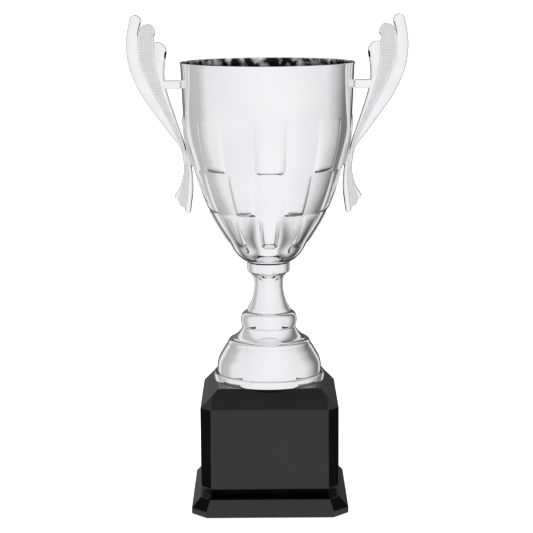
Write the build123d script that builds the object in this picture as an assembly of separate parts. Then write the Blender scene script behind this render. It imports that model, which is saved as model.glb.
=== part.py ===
from build123d import *
from math import atan2, cos, degrees, pi, radians, sin, sqrt
import os

# Cup trophy: a pressed steel bowl with two feather handles, on a plated column and a weighted black base.
# Millimetres, +Z up, front towards -Y. The origin is the centre of the felt pad that the trophy stands on.
# A threaded rod runs up the middle and clamps bowl, collar, stem, knop, foot and block together.

# base: felt, board, plinth and block
FELT_THICK = 1.5
FELT_PROUD = 0.8
BOARD_THICK = 2.5
BASE_CLEAR = 0.3
PLINTH_MARGIN = 7.7
PLINTH_CORNER = 12.5
PLINTH_TOP = 13.9
PLINTH_BEVEL_IN = 7.2
PLINTH_BEVEL_DOWN = 7.9
PLINTH_WALL = 3.0
PLINTH_LEDGE = 4.0
PLINTH_WEB = 3.0
PLINTH_OPENING = 22.0
LIP_HEIGHT = 3.0
LIP_WALL = 2.0
BLOCK_WIDTH = 111.4
BLOCK_CORNER = 8.6
BLOCK_HEIGHT = 88.2
BLOCK_BEVEL = 5.6
BLOCK_WALL = 3.0
BLOCK_ROOF = 4.5
POST_RADIUS = 4.5
POST_INSET = 12.6
BALLAST_HEIGHT = 28.0
BALLAST_GAP = 4.0
BALLAST_BORE = 14.0

# self-tapping screws that hold the plinth under the block
TAP_RADIUS = 1.75
TAP_LENGTH = 16.0
TAP_HEAD_RADIUS = 3.4
TAP_HEAD_HEIGHT = 2.2
TAP_CLEAR = 0.3

# threaded rod, its nuts and washers
ROD_RADIUS = 4.0
ROD_CLEAR = 0.35
ROD_STICK_OUT = 3.0
NUT_FLATS = 13.0
NUT_HEIGHT = 6.5
NUT_FIT = 0.05
WASHER_RADIUS = 12.0
WASHER_THICK = 1.6
TOP_WASHER_RADIUS = 11.0
SEAL_RADIUS = 12.0
SEAL_THICK = 1.5

# plated column: foot ring, foot dome, knop, stem and collar
SPIGOT_CLEAR = 0.15
RING_MARGIN = 2.8
RING_HEIGHT = 5.7
RING_REBATE = 2.7
RING_BORE = 31.0
DOME_RADIUS = 43.0
DOME_HEIGHT = 40.2
DOME_WALL = 2.4
DOME_SHOULDER_RADIUS = 34.2
DOME_SHOULDER_DROP = 13.3
NECK_RADIUS = 21.9
KNOP_RADIUS = 23.0
KNOP_HEIGHT = 13.4
STEM_FOOT_RADIUS = 18.0
STEM_WAIST_RADIUS = 11.8
STEM_HEAD_RADIUS = 14.6
STEM_HEIGHT = 31.0
STEM_BORE = 8.0
COLLAR_RADIUS = 17.6
COLLAR_HEIGHT = 9.2
COLLAR_ROUND = 2.6
SPIGOT_HEIGHT = 3.6
SPIGOT_WALL = 3.6

# bowl
BOWL_HEIGHT = 162.9
RIM_RADIUS = 70.0
BOWL_SEAT_RADIUS = 16.8
BOWL_WALL = 0.8
HEM_HEIGHT = 2.2
HEM_THICK = 0.35
# outline of the bowl: share of the rim radius at each share of the bowl's height
BOWL_SHAPE = [(0.334, 0.026), (0.437, 0.088), (0.546, 0.162), (0.663, 0.251), (0.777, 0.365),
              (0.870, 0.495), (0.949, 0.627), (0.977, 0.762), (1.0, 1.0)]
PANEL_COLUMNS = 16
PANEL_TURN = 1.6
# where the rows of panels begin and end, as shares of the bowl's height
PANEL_ROW_SHARES = [0.1013, 0.2683, 0.4819, 0.7428]
PANEL_GAP = 0.6
PANEL_RISE_TOP = 0.8
PANEL_RISE_FOOT = [1.4, 1.6, 2.0]

# handles
ARM_DROP = 18.3
HANDLE_HALF = 3.0
HANDLE_MIDDLE_HALF = 2.4
ARM_HEIGHT = 7.0
ARM_HALF = 3.2
ARM_UP = 61.3
ARM_ROOT = 20.5
PAD_END_WALL = 1.193
SCREW_RADIUS = 2.0
LOWER_SCREW_UP = 2.0
SCREW_LENGTH = 5.0
SCREW_END_GAP = 0.3
SCREW_HEAD_RADIUS = 3.8
SCREW_HEAD_HEIGHT = 2.2
SCREW_HOLE_CLEAR = 0.05
SCREW_WALL_CLEAR = 0.2
SMALL_WASHER_RADIUS = 4.6
SMALL_WASHER_THICK = 0.8
WASHER_CLEAR = 0.12

# feathers as (outwards, upwards) from the waist, where the handle lies on the bowl.
# Each has its outer edge, the middle of its rounded tip, and its inner edge.
UPPER_FEATHERS = {
    "outer": ([(3.6, -3.0), (6.4, 10.5), (19.8, 27.5), (37.7, 52.4), (47.2, 74.0), (49.7, 93.9),
               (46.4, 113.8)],
              (42.9, 117.2),
              [(36.4, 110.0), (39.2, 98.0), (37.6, 78.0), (27.4, 55.8), (13.0, 28.7), (6.0, 13.0),
               (2.6, -3.0)]),
    "middle": ([(3.2, -3.0), (7.0, 13.0), (14.0, 28.7), (28.4, 55.8), (38.6, 78.0), (40.2, 98.0),
                (37.0, 108.6)],
               (32.4, 108.4),
               [(26.8, 98.4), (26.6, 78.3), (20.7, 54.7), (10.8, 29.8), (4.6, 15.0), (1.6, -3.0)]),
    "inner": ([(2.2, -3.0), (5.6, 15.0), (11.8, 29.8), (21.7, 54.7), (27.6, 78.3), (27.6, 97.4)],
              (21.6, 95.6),
              [(17.0, 86.6), (19.0, 72.0), (17.3, 56.9), (9.6, 32.1), (4.2, 16.0), (0.6, -3.0)]),
}
LOWER_FEATHERS = {
    "outer": ([(4.8, 3.0), (4.2, -3.0), (4.9, -11.2), (7.9, -20.4), (12.7, -28.4)],
              (12.0, -31.6),
              [(8.9, -32.6), (4.6, -18.0), (2.0, 3.6)]),
    "middle": ([(3.2, 4.2), (5.4, -18.0), (9.6, -32.0)],
               (8.0, -37.6),
               [(3.4, -39.0), (1.0, -18.0), (1.0, 4.2)]),
    "inner": ([(2.2, 4.8), (1.8, -18.0), (4.0, -38.6)],
              (1.7, -43.2),
              [(-1.0, -41.0), (-3.0, -24.0), (-2.6, -10.0), (-0.6, 4.8)]),
}

# widths and heights that follow from the sizes above
PLINTH_WIDTH = BLOCK_WIDTH + 2 * PLINTH_MARGIN
RING_RADIUS = DOME_RADIUS + RING_MARGIN
HANDLE_WAIST = BOWL_HEIGHT - ARM_DROP - ARM_UP
PANEL_ROWS = [share * BOWL_HEIGHT for share in PANEL_ROW_SHARES]
BLOCK_TOP = PLINTH_TOP + BLOCK_HEIGHT
DOME_FOOT = BLOCK_TOP + RING_REBATE
DOME_TOP = DOME_FOOT + DOME_HEIGHT
KNOP_TOP = DOME_TOP + KNOP_HEIGHT
STEM_TOP = KNOP_TOP + STEM_HEIGHT
BOWL_FOOT = STEM_TOP + COLLAR_HEIGHT
BOWL_TOP = BOWL_FOOT + BOWL_HEIGHT
ROD_HOLE = ROD_RADIUS + ROD_CLEAR
CORNER_SHRINK = 2 - sqrt(2)


def octagon(width, corner):
    """Square with its corners cut off, corner being how much each side loses at its end."""
    h, c = width / 2, width / 2 - corner
    corners = [(-c, -h), (c, -h), (h, -c), (h, c), (c, h), (-c, h), (-h, c), (-h, -c)]
    return make_face(Polyline(*corners, close=True))


def octagon_inside(width, corner, inset):
    """The octagon that lies inset inside another one, on all eight sides."""
    return octagon(width - 2 * inset, corner - CORNER_SHRINK * inset)


def prism(face, low, high):
    return Pos(0, 0, low) * extrude(face, high - low)


def cylinder(radius, low, high):
    return Pos(0, 0, low) * Cylinder(radius, high - low, align=(Align.CENTER, Align.CENTER, Align.MIN))


def turned(*edges):
    """Solid of revolution about Z from edges given as (radius, height)."""
    return revolve(Plane.XZ * make_face(Curve() + list(edges)), Axis.Z)


def at_corners(place, shape):
    return [Pos(x * place, y * place, 0) * shape for x in (-1, 1) for y in (-1, 1)]


POST_PLACE = BLOCK_WIDTH / 2 - POST_INSET


def base_plinth():
    side_top = PLINTH_TOP - PLINTH_BEVEL_DOWN
    outline = octagon(PLINTH_WIDTH, PLINTH_CORNER)
    top_outline = octagon_inside(PLINTH_WIDTH, PLINTH_CORNER, PLINTH_BEVEL_IN)
    body = prism(outline, FELT_PROUD, side_top)
    body += loft([Pos(0, 0, side_top) * outline, Pos(0, 0, PLINTH_TOP) * top_outline], ruled=True)
    lip_inset = BLOCK_WALL + BASE_CLEAR
    lip_top = PLINTH_TOP + LIP_HEIGHT
    lip = prism(octagon_inside(BLOCK_WIDTH, BLOCK_CORNER, lip_inset), PLINTH_TOP, lip_top)
    lip -= prism(octagon_inside(BLOCK_WIDTH, BLOCK_CORNER, lip_inset + LIP_WALL), PLINTH_TOP, lip_top)
    board_top = FELT_THICK + BOARD_THICK
    pocket = prism(octagon_inside(PLINTH_WIDTH, PLINTH_CORNER, PLINTH_WALL), 0, board_top)
    hollow = prism(octagon_inside(PLINTH_WIDTH, PLINTH_CORNER, PLINTH_WALL + PLINTH_LEDGE),
                   board_top, PLINTH_TOP - PLINTH_WEB)
    holes = [cylinder(PLINTH_OPENING, 0, PLINTH_TOP)]
    holes += at_corners(POST_PLACE, cylinder(TAP_RADIUS + TAP_CLEAR, 0, PLINTH_TOP))
    return body + lip - pocket - hollow - holes


def base_board():
    return prism(octagon_inside(PLINTH_WIDTH, PLINTH_CORNER, PLINTH_WALL + BASE_CLEAR),
                 FELT_THICK, FELT_THICK + BOARD_THICK)


def felt_pad():
    return prism(octagon_inside(PLINTH_WIDTH, PLINTH_CORNER, PLINTH_WALL + BASE_CLEAR), 0, FELT_THICK)


def base_block():
    bevel_foot = BLOCK_TOP - BLOCK_BEVEL
    outline = octagon(BLOCK_WIDTH, BLOCK_CORNER)
    top_outline = octagon_inside(BLOCK_WIDTH, BLOCK_CORNER, BLOCK_BEVEL)
    body = prism(outline, PLINTH_TOP, bevel_foot)
    body += loft([Pos(0, 0, bevel_foot) * outline, Pos(0, 0, BLOCK_TOP) * top_outline], ruled=True)
    body -= prism(octagon_inside(BLOCK_WIDTH, BLOCK_CORNER, BLOCK_WALL), PLINTH_TOP, BLOCK_TOP - BLOCK_ROOF)
    body += at_corners(POST_PLACE, cylinder(POST_RADIUS, PLINTH_TOP, BLOCK_TOP - BLOCK_ROOF))
    pilot_depth = TAP_LENGTH - PLINTH_WEB + TAP_RADIUS
    body -= at_corners(POST_PLACE, cylinder(TAP_RADIUS, PLINTH_TOP, PLINTH_TOP + pilot_depth))
    return body - cylinder(ROD_HOLE, BLOCK_TOP - BLOCK_ROOF, BLOCK_TOP)


def plinth_screw():
    head_top = PLINTH_TOP - PLINTH_WEB
    head_low = head_top - TAP_HEAD_HEIGHT
    head = cylinder(TAP_HEAD_RADIUS, head_low, head_top)
    recess = Pos(0, 0, head_low) * Box(TAP_HEAD_RADIUS, TAP_HEAD_RADIUS / 4, TAP_HEAD_HEIGHT)
    cross = recess + Rot(0, 0, 90) * recess
    shank = cylinder(TAP_RADIUS, head_top, head_top + TAP_LENGTH - TAP_RADIUS)
    point = Pos(0, 0, head_top + TAP_LENGTH - TAP_RADIUS) * Cone(
        TAP_RADIUS, TAP_RADIUS / 4, TAP_RADIUS, align=(Align.CENTER, Align.CENTER, Align.MIN))
    return head - cross + shank + point


def ballast():
    """Cast block on the plinth, with its corners cut back to clear the posts."""
    width = BLOCK_WIDTH - 2 * (BLOCK_WALL + BASE_CLEAR + LIP_WALL + BALLAST_GAP)
    post_edge = POST_PLACE * sqrt(2) - POST_RADIUS - BALLAST_GAP
    corner = width - post_edge * sqrt(2)
    slab = prism(octagon(width, corner), PLINTH_TOP, PLINTH_TOP + BALLAST_HEIGHT)
    return slab - cylinder(BALLAST_BORE, PLINTH_TOP, PLINTH_TOP + BALLAST_HEIGHT)


def foot_ring():
    top = BLOCK_TOP + RING_HEIGHT
    seat = DOME_RADIUS + SPIGOT_CLEAR
    lip = 0.7
    outer = Polyline((seat, DOME_FOOT), (RING_BORE, DOME_FOOT), (RING_BORE, BLOCK_TOP),
                     (RING_RADIUS, BLOCK_TOP), (RING_RADIUS, top - lip))
    crest = TangentArc((RING_RADIUS, top - lip), (RING_RADIUS - lip, top), tangent=(0, 1))
    groove_edge = (seat, top - 2 * lip)
    groove = ThreePointArc(crest @ 1, ((RING_RADIUS - lip + 2 * seat) / 3, top - 1.8 * lip), groove_edge)
    return turned(outer, crest, groove, Line(groove_edge, (seat, DOME_FOOT)))


def dome_outline(inset):
    """Outline of the foot dome from its foot up to the neck, moved inwards by inset."""
    shoulder = DOME_TOP - DOME_SHOULDER_DROP
    foot = (DOME_RADIUS - inset, DOME_FOOT)
    hip = (DOME_RADIUS - inset, DOME_FOOT + 3)
    corner = (DOME_SHOULDER_RADIUS - inset, shoulder - 0.7 * inset)
    step = (DOME_SHOULDER_RADIUS - 1.4 - inset, shoulder + 2.2 - 0.7 * inset)
    shelf = (DOME_SHOULDER_RADIUS - 4.4 - inset, shoulder + 4.2 - 0.7 * inset)
    neck = (NECK_RADIUS - inset, DOME_TOP)
    return [Line(foot, hip),
            TangentArc(hip, corner, tangent=(0, 1)),
            TangentArc(corner, step, tangent=(0.3, 1)),
            Line(step, shelf),
            TangentArc(neck, shelf, tangent=(0.25, -1)),
            neck, foot]


def foot_dome():
    *outer, neck, foot = dome_outline(0)
    shell = turned(*outer, Polyline(neck, (0, DOME_TOP), (0, DOME_FOOT), foot))
    *inner, roof, mouth = dome_outline(DOME_WALL)
    hollow = turned(*inner, Polyline(roof, (0, DOME_TOP), (0, DOME_FOOT), mouth))
    hollow -= cylinder(NECK_RADIUS, DOME_TOP - DOME_WALL, DOME_TOP)
    return shell - hollow - cylinder(STEM_BORE + SPIGOT_WALL + SPIGOT_CLEAR, DOME_TOP - DOME_WALL, DOME_TOP)


def spigot(height, down=False):
    """Short tube that centres one column piece in the next one."""
    low = height - SPIGOT_HEIGHT if down else height
    return cylinder(STEM_BORE + SPIGOT_WALL, low, low + SPIGOT_HEIGHT)


def socket(height):
    return cylinder(STEM_BORE + SPIGOT_WALL + SPIGOT_CLEAR, height, height + SPIGOT_HEIGHT + SPIGOT_CLEAR)


def knop():
    waist = DOME_TOP + 0.45 * KNOP_HEIGHT
    upper = TangentArc((KNOP_RADIUS, waist), (STEM_FOOT_RADIUS, KNOP_TOP), tangent=(0, 1))
    lower = TangentArc((KNOP_RADIUS, waist), (NECK_RADIUS, DOME_TOP), tangent=(0, -1))
    body = turned(lower, upper, Polyline(upper @ 1, (0, KNOP_TOP), (0, DOME_TOP), lower @ 1))
    body += [spigot(KNOP_TOP), spigot(DOME_TOP, down=True)]
    return body - cylinder(STEM_BORE, DOME_TOP - SPIGOT_HEIGHT, KNOP_TOP + SPIGOT_HEIGHT)


def stem():
    outline = Spline((STEM_FOOT_RADIUS, KNOP_TOP), (STEM_FOOT_RADIUS - 3.3, KNOP_TOP + 0.22 * STEM_HEIGHT),
                     (STEM_WAIST_RADIUS + 0.7, KNOP_TOP + 0.47 * STEM_HEIGHT),
                     (STEM_WAIST_RADIUS, KNOP_TOP + 0.68 * STEM_HEIGHT),
                     (STEM_WAIST_RADIUS + 0.8, KNOP_TOP + 0.87 * STEM_HEIGHT), (STEM_HEAD_RADIUS, STEM_TOP))
    body = turned(outline, Polyline(outline @ 1, (0, STEM_TOP), (0, KNOP_TOP), outline @ 0))
    body += spigot(STEM_TOP)
    body -= cylinder(STEM_BORE, KNOP_TOP, STEM_TOP - SPIGOT_WALL)
    return body - socket(KNOP_TOP) - cylinder(ROD_HOLE, STEM_TOP - SPIGOT_WALL, STEM_TOP + SPIGOT_HEIGHT)


def collar():
    foot = STEM_TOP
    lower = Line((COLLAR_RADIUS - COLLAR_ROUND, foot), (STEM_BORE, foot))
    rounding = TangentArc((COLLAR_RADIUS, foot + COLLAR_ROUND), lower @ 0, tangent=(0, -1))
    side = Line((COLLAR_RADIUS, foot + COLLAR_ROUND), (COLLAR_RADIUS, BOWL_FOOT - 0.5))
    top = Polyline(side @ 1, (COLLAR_RADIUS - 0.5, BOWL_FOOT), (0, BOWL_FOOT), (0, foot), lower @ 1)
    return turned(lower, rounding, side, top) - socket(foot) - cylinder(ROD_HOLE, foot, BOWL_FOOT)


BOWL_POINTS = [(share * RIM_RADIUS, BOWL_FOOT + up * BOWL_HEIGHT) for share, up in BOWL_SHAPE]
BOWL_CURVE = Spline(*BOWL_POINTS, tangents=[(0.7, 0.75), (0, 1)])


def bowl_radius(height):
    """Outer radius of the bowl at a height, without its panels."""
    low, high = 0.0, 1.0
    for _ in range(40):
        middle = (low + high) / 2
        if (BOWL_CURVE @ middle).Y < height:
            low = middle
        else:
            high = middle
    return (BOWL_CURVE @ low).X


def bowl_slope(height):
    """Angle of the bowl's wall from upright, in degrees."""
    step = 0.5
    return degrees(atan2(bowl_radius(height + step) - bowl_radius(height - step), 2 * step))


def bowl_solid(inset):
    """The bowl as a full solid, with its wall moved inwards by inset."""
    foot = BOWL_FOOT + inset
    points = [(r - inset * cos(radians(bowl_slope(z))), z + inset * sin(radians(bowl_slope(z))))
              for r, z in BOWL_POINTS[:-1]]
    points.append((RIM_RADIUS - inset, BOWL_TOP))
    wall = Spline(*points, tangents=[(0.7, 0.75), (0, 1)])
    seat = (BOWL_SEAT_RADIUS, foot)
    corner = TangentArc(seat, wall @ 0, tangent=(1, 0.35))
    return turned(wall, corner, Polyline(wall @ 1, (0, BOWL_TOP), (0, foot), seat))


def panel(row, back, edge_inset, thin):
    """One raised panel of a row, centred on +X.

    Its back lies back inside the bowl's wall, its four edges move in by edge_inset and its face by thin.
    """
    low = BOWL_FOOT + PANEL_ROWS[row] + edge_inset
    high = BOWL_FOOT + PANEL_ROWS[row + 1] - edge_inset
    front, rear = [], []
    for share in (0, 0.25, 0.5, 0.75, 1):
        z = low + share * (high - low)
        rise = PANEL_RISE_FOOT[row] + share * (PANEL_RISE_TOP - PANEL_RISE_FOOT[row])
        front.append((bowl_radius(z) + rise - thin / cos(radians(bowl_slope(z))), z))
        rear.append((bowl_radius(z) - back, z))
    face, seat = Spline(*front), Spline(*rear)
    section = make_face(Curve() + [face, seat, Line(face @ 0, seat @ 0), Line(face @ 1, seat @ 1)])
    half = 180 / PANEL_COLUMNS - degrees(edge_inset / front[2][0])
    return Rot(0, 0, -half) * revolve(Plane.XZ * section, Axis.Z, 2 * half)


def panels(back, edge_inset, thin):
    """Every other panel of each row, in a chequer, with one panel of the top row facing the front."""
    found = []
    for row in range(len(PANEL_ROWS) - 1):
        one = panel(row, back, edge_inset, thin)
        for column in range(row % 2, PANEL_COLUMNS, 2):
            found.append(Rot(0, 0, PANEL_TURN - 90 + column * 360 / PANEL_COLUMNS) * one)
    return found


def bowl_outside():
    hem = cylinder(RIM_RADIUS + HEM_THICK, BOWL_TOP - HEM_HEIGHT, BOWL_TOP)
    return bowl_solid(0) + panels(BOWL_WALL / 2, PANEL_GAP / 2, 0) + hem


BOWL_OUTSIDE = bowl_outside()
ARM_Z = BOWL_FOOT + HANDLE_WAIST + ARM_UP
WAIST_Z = BOWL_FOOT + HANDLE_WAIST


def wall_radius(height):
    """Outer radius of the bowl in the plane y = 0, with the raised panel that stands there."""
    rise = 0
    for row in range(len(PANEL_ROWS) - 1):
        low, high = BOWL_FOOT + PANEL_ROWS[row], BOWL_FOOT + PANEL_ROWS[row + 1]
        if low < height < high and (PANEL_COLUMNS // 4 + row) % 2 == 0:
            share = (height - low) / (high - low)
            rise = PANEL_RISE_FOOT[row] + share * (PANEL_RISE_TOP - PANEL_RISE_FOOT[row])
    return bowl_radius(height) + rise


def wall_point(height):
    """Where a handle screw crosses the bowl's outer face in the plane y = 0, and its tilt in degrees."""
    step = 0.5
    lean = atan2(wall_radius(height + step) - wall_radius(height - step), 2 * step)
    return wall_radius(height), degrees(lean)


def on_screw_axis(height, shape):
    """Places a shape whose +X points out of the bowl on the screw axis at a height."""
    radius, slope = wall_point(height)
    return Pos(radius, 0, height) * Rot(0, slope, 0) * shape


def along_x(radius, start, end):
    return Pos(start, 0, 0) * Rot(0, 90, 0) * cylinder(radius, 0, end - start)


def screw_heights():
    return (WAIST_Z + LOWER_SCREW_UP, ARM_Z)


def washer_face():
    """How far inside the wall's outer face the washer's outer side lies, clear of the curved wall."""
    inner = bowl_radius(screw_heights()[0]) - BOWL_WALL
    return BOWL_WALL + inner - sqrt(inner**2 - SMALL_WASHER_RADIUS**2) + WASHER_CLEAR


def screw_tip():
    """How far a handle screw's end stands outside the wall's outer face."""
    return SCREW_LENGTH - SMALL_WASHER_THICK - washer_face()


PAD_THICK = screw_tip() + SCREW_END_GAP + PAD_END_WALL


def bowl():
    body = BOWL_OUTSIDE - bowl_solid(BOWL_WALL)
    body -= panels(2 * BOWL_WALL, PANEL_GAP / 2 + BOWL_WALL, BOWL_WALL)
    body -= cylinder(ROD_HOLE, BOWL_FOOT, BOWL_FOOT + BOWL_WALL)
    hole = along_x(SCREW_RADIUS + SCREW_WALL_CLEAR, -3 * BOWL_WALL, 2 * BOWL_WALL)
    for height in screw_heights():
        placed = on_screw_axis(height, hole)
        body -= [placed, Rot(0, 0, 180) * placed]
    return body


def feather(outline, half):
    """One feather: its outline stood up in the plane y = 0 and thickened both ways."""
    outer, tip, inner = outline
    waist = wall_point(WAIST_Z)[0]
    rise, fall = [Spline(*[(waist + u, WAIST_Z + v) for u, v in side]) for side in (outer, inner)]
    end = ThreePointArc(rise @ 1, (waist + tip[0], WAIST_Z + tip[1]), fall @ 0)
    face = make_face(Curve() + [rise, end, fall, Line(fall @ 1, rise @ 0)])
    return extrude(Plane.XZ * face, half, both=True)


def handle():
    """Handle on the +X side: six feathers, the arm to the bowl and the pad at the waist."""
    arm_end = wall_point(WAIST_Z)[0] + ARM_ROOT
    arm_start = wall_point(ARM_Z)[0] - BOWL_WALL
    arm = Pos((arm_start + arm_end) / 2, 0, ARM_Z) * Box(arm_end - arm_start, 2 * ARM_HALF, ARM_HEIGHT)
    pad = Pos((PAD_THICK - BOWL_WALL) / 2, 0, 0) * Box(PAD_THICK + BOWL_WALL, 2 * ARM_HALF, ARM_HEIGHT)
    body = on_screw_axis(screw_heights()[0], pad) + arm
    for feathers in (UPPER_FEATHERS, LOWER_FEATHERS):
        for name, outline in feathers.items():
            body += feather(outline, HANDLE_MIDDLE_HALF if name == "middle" else HANDLE_HALF)
    body -= BOWL_OUTSIDE
    drill = along_x(SCREW_RADIUS + SCREW_HOLE_CLEAR, -2 * BOWL_WALL, screw_tip() + SCREW_END_GAP)
    for height in screw_heights():
        body -= on_screw_axis(height, drill)
    return body


def handle_screw():
    """Pan-head screw along X, its head inside the bowl and its shank out through the wall into the handle."""
    seat = screw_tip() - SCREW_LENGTH
    head = along_x(SCREW_HEAD_RADIUS, seat - SCREW_HEAD_HEIGHT, seat)
    crown = head.edges().filter_by(GeomType.CIRCLE).sort_by(Axis.X)[0]
    head = fillet(crown, SCREW_HEAD_HEIGHT / 2)
    slot = Box(SCREW_HEAD_HEIGHT, SCREW_HEAD_RADIUS, SCREW_HEAD_RADIUS / 4)
    slot = Pos(seat - SCREW_HEAD_HEIGHT, 0, 0) * slot
    cross = slot + Rot(90, 0, 0) * slot
    return head - cross + along_x(SCREW_RADIUS, seat, screw_tip())


def handle_washer():
    outer = -washer_face()
    return (along_x(SMALL_WASHER_RADIUS, outer - SMALL_WASHER_THICK, outer)
            - along_x(SCREW_RADIUS + SCREW_WALL_CLEAR, outer - SMALL_WASHER_THICK, outer))


def both_sides(shapes):
    return Compound(children=[turn * shape for shape in shapes for turn in (Rot(0, 0, 0), Rot(0, 0, 180))])


def washer(radius, low, thick):
    return cylinder(radius, low, low + thick) - cylinder(ROD_HOLE, low, low + thick)


def nut(low):
    """Hexagon nut with both its ends rounded off at the corners."""
    corners = NUT_FLATS / 2 / cos(pi / 6)
    body = prism(RegularPolygon(corners, 6), low, low + NUT_HEIGHT)
    drop = corners - NUT_FLATS / 2
    upper = Pos(0, 0, low + NUT_HEIGHT - drop) * Cone(corners + drop / 2, NUT_FLATS / 2 - drop / 2, drop * 2,
                                                      align=(Align.CENTER, Align.CENTER, Align.MIN))
    keep = cylinder(corners + 1, low, low + NUT_HEIGHT - drop) + upper
    return (body & keep) - cylinder(ROD_RADIUS + NUT_FIT, low, low + NUT_HEIGHT)


SEAL_LOW = BOWL_FOOT + BOWL_WALL
TOP_WASHER_LOW = SEAL_LOW + SEAL_THICK
TOP_NUT_LOW = TOP_WASHER_LOW + WASHER_THICK
LOW_WASHER_LOW = BLOCK_TOP - BLOCK_ROOF - WASHER_THICK
LOW_NUT_LOW = LOW_WASHER_LOW - NUT_HEIGHT


def tie_rod():
    low, high = LOW_NUT_LOW - ROD_STICK_OUT, TOP_NUT_LOW + NUT_HEIGHT + ROD_STICK_OUT
    rod = cylinder(ROD_RADIUS, low, high)
    return chamfer(rod.edges().filter_by(GeomType.CIRCLE), ROD_RADIUS / 6)


def build():
    right = handle()
    screws = [on_screw_axis(height, handle_screw()) for height in screw_heights()]
    washers = [on_screw_axis(height, handle_washer()) for height in screw_heights()]
    return {
        "felt_pad": felt_pad(),
        "base_board": base_board(),
        "base_plinth": base_plinth(),
        "plinth_screws": Compound(children=at_corners(POST_PLACE, plinth_screw())),
        "base_block": base_block(),
        "ballast": ballast(),
        "lower_washer": washer(WASHER_RADIUS, LOW_WASHER_LOW, WASHER_THICK),
        "lower_nut": nut(LOW_NUT_LOW),
        "tie_rod": tie_rod(),
        "foot_ring": foot_ring(),
        "foot_dome": foot_dome(),
        "knop": knop(),
        "stem": stem(),
        "collar": collar(),
        "bowl": bowl(),
        "bowl_seal": washer(SEAL_RADIUS, SEAL_LOW, SEAL_THICK),
        "upper_washer": washer(TOP_WASHER_RADIUS, TOP_WASHER_LOW, WASHER_THICK),
        "upper_nut": nut(TOP_NUT_LOW),
        "handle_right": right,
        "handle_left": Rot(0, 0, 180) * right,
        "handle_screws": both_sides(screws),
        "handle_washers": both_sides(washers),
    }


if __name__ == "__main__":
    os.makedirs("parts", exist_ok=True)
    for name, shape in build().items():
        export_step(shape, os.path.join("parts", name + ".step"))
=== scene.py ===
from math import atan2, cos, hypot, pi, radians, sin, sqrt

import bpy
import numpy as np
from mathutils import Euler, Matrix, Quaternion, Vector


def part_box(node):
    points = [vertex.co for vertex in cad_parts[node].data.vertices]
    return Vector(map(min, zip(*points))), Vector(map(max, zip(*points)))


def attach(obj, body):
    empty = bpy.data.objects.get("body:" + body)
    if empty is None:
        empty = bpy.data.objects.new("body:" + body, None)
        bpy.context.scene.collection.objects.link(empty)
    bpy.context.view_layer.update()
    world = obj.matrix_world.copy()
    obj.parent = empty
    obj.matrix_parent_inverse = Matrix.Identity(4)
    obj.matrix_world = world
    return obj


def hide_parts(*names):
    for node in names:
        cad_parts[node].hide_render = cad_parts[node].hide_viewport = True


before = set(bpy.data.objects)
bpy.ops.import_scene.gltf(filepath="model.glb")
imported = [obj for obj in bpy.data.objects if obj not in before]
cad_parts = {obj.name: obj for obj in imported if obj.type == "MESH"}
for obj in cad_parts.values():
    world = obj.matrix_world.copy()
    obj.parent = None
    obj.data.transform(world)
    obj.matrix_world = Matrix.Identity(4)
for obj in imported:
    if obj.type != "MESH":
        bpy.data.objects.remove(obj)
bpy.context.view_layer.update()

mm = 0.001


def clearSelection():
    if bpy.context.mode != "OBJECT":
        bpy.ops.object.mode_set(mode="OBJECT")
    bpy.ops.object.select_all(action="DESELECT")


def makeActive(piece):
    clearSelection()
    piece.select_set(True)
    bpy.context.view_layer.objects.active = piece


def settle(piece, smoothAngle=30):
    # place goes into the mesh, then smooth faces with sharp creases kept
    makeActive(piece)
    bpy.ops.object.transform_apply(location=True, rotation=True, scale=True)
    bpy.ops.object.shade_smooth_by_angle(angle=radians(smoothAngle))
    return piece


def tidyMesh(piece, merge=0.002 * mm):
    makeActive(piece)
    bpy.ops.object.mode_set(mode="EDIT")
    bpy.ops.mesh.select_all(action="SELECT")
    bpy.ops.mesh.remove_doubles(threshold=merge)
    bpy.ops.mesh.normals_make_consistent(inside=False)
    bpy.ops.object.mode_set(mode="OBJECT")


def applyModifier(piece, kind, **settings):
    makeActive(piece)
    modifier = piece.modifiers.new(kind.title(), kind)
    for key, value in settings.items():
        setattr(modifier, key, value)
    bpy.ops.object.modifier_apply(modifier=modifier.name)


def smoothThrough(points, steps):
    # points along a curve that passes through every given point, closer together where they are closer
    found = []
    ends = [2 * Vector(points[0]) - Vector(points[1])] + [Vector(p) for p in points]
    ends.append(2 * ends[-1] - ends[-2])
    for a, b, c, d in zip(ends, ends[1:], ends[2:], ends[3:]):
        for k in range(steps):
            t = k / steps
            found.append(0.5 * (2 * b + (c - a) * t + (2 * a - 5 * b + 4 * c - d) * t * t
                                + (3 * b - a - 3 * c + d) * t ** 3))
    found.append(Vector(points[-1]))
    return [tuple(p) for p in found]


def splineOf(points):
    # natural cubic spline y(x) through points with rising x
    x, y = (np.array(values, float) for values in zip(*points))
    n, h = len(x), np.diff(x)
    rows, right = np.eye(n), np.zeros(n)
    for i in range(1, n - 1):
        rows[i, i - 1:i + 2] = h[i - 1], 2 * (h[i - 1] + h[i]), h[i]
        right[i] = 6 * ((y[i + 1] - y[i]) / h[i] - (y[i] - y[i - 1]) / h[i - 1])
    bend = np.linalg.solve(rows, right)

    def at(value):
        i = min(max(int(np.searchsorted(x, value)) - 1, 0), n - 2)
        a, b = (x[i + 1] - value) / h[i], (value - x[i]) / h[i]
        curve = ((a ** 3 - a) * bend[i] + (b ** 3 - b) * bend[i + 1]) * h[i] ** 2 / 6
        return float(a * y[i] + b * y[i + 1] + curve)
    return at


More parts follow.
